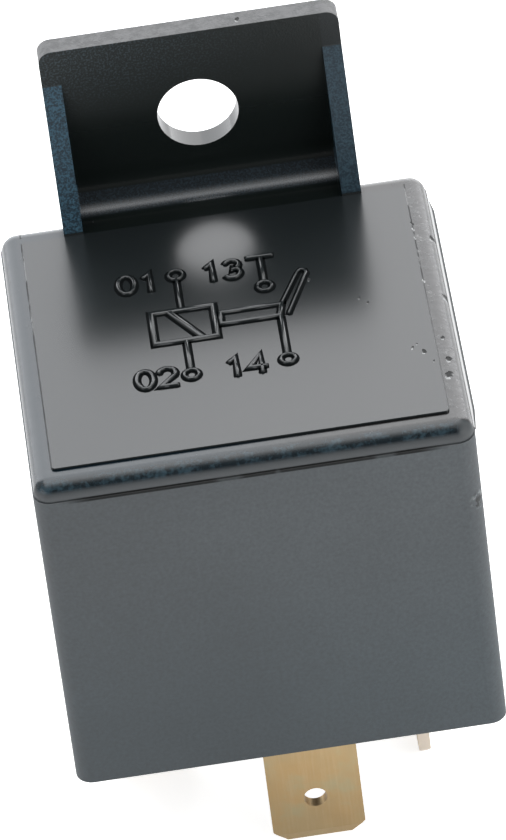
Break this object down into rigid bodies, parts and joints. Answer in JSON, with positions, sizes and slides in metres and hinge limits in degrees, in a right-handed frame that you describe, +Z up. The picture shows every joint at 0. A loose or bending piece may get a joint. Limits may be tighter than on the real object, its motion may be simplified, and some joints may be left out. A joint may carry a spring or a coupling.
{
  "type": "automotive plug-in relay",
  "caption": "Plug-in automotive relay in a square black cover with a moulded mounting bracket, blade terminals and a working armature and contact inside.",
  "frame": {"origin": "centre of the base's underside, the face that seats on the socket", "axes": "+Z up out of the socket, +Y towards the mounting bracket, +X towards the make terminal"},
  "size_m": [0.0288, 0.0308, 0.0502],
  "materials": {
    "cover_plastic": "black moulded nylon, glossy roof, satin walls",
    "base_plastic": "black moulded thermoset, satin",
    "terminal_brass": "bare brass, satin",
    "plated_steel": "zinc plated, satin",
    "bobbin_plastic": "natural moulded polyester, satin",
    "enamelled_copper": "clear enamel over copper wire",
    "spring_bronze": "rolled spring bronze, satin",
    "contact_silver": "silver alloy, satin",
    "rivet_steel": "plated, satin",
    "solder": "tin solder, bright"
  },
  "bodies": {
    "relay": {"cover": "cover_plastic", "base": "base_plastic", "common_terminal": "terminal_brass", "make_terminal": "terminal_brass", "front_coil_terminal": "terminal_brass", "rear_coil_terminal": "terminal_brass", "yoke": "plated_steel", "core": "plated_steel", "bobbin": "bobbin_plastic", "winding": "enamelled_copper", "fixed_contact": "contact_silver", "terminal_rivet": "rivet_steel", "stop_plate": "plated_steel", "front_lead": "enamelled_copper", "rear_lead": "enamelled_copper", "front_solder": "solder", "rear_solder": "solder"},
    "armature": {"armature": "plated_steel", "contact_spring": "spring_bronze", "moving_contact": "contact_silver"}
  },
  "joints": [
    {"name": "armature_hinge", "type": "hinge", "parent": "relay", "child": "armature", "pos_m": [-0.0107, 0, 0.0195], "axis": [0, 1, 0], "range_deg": [0, 2.6], "stiffness_Nm_per_rad": 0.03, "springref_deg": -5.73, "deforming": ["contact_spring"]}
  ]
}
